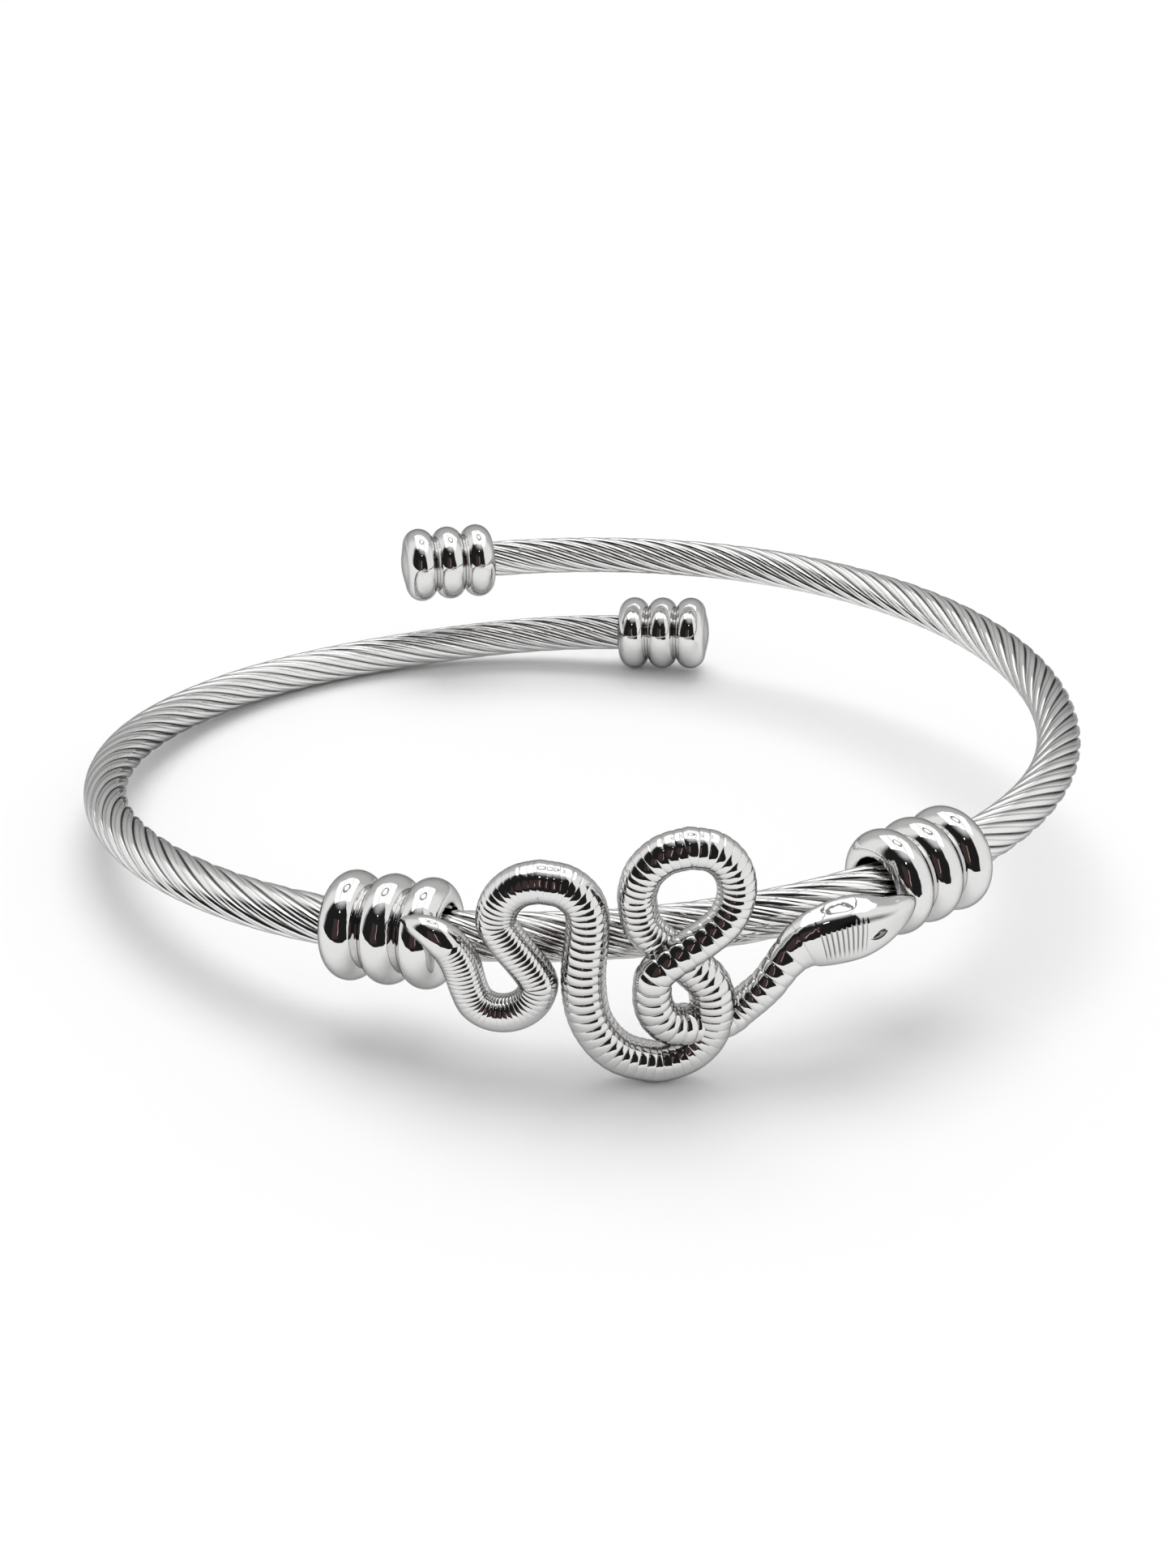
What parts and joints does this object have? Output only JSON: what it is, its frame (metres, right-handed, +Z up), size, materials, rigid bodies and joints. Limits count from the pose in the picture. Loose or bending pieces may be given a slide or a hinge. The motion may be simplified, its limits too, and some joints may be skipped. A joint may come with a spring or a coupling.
{
  "type": "snake bracelet",
  "caption": "Open cable bangle: twisted steel cable with ringed end caps passing at the back, and a cast ribbed snake looped across the front between two ringed beads.",
  "frame": {"origin": "on the ring's axis, at the level of the surface that the bangle rests on", "axes": "+Z up along the ring's axis, -Y to the front where the snake is, +Y to the back where the two ends pass each other, +X to the right where the snake's head is"},
  "size_m": [0.066, 0.07, 0.0153],
  "materials": {
    "twisted_cable": "polished twisted stainless steel wire",
    "polished_steel": "mirror polished cast stainless steel"
  },
  "bodies": {
    "root": {"cable": "twisted_cable", "snake_with_beads": "polished_steel", "end_cap_upper": "polished_steel", "end_cap_lower": "polished_steel"}
  },
  "joints": []
}
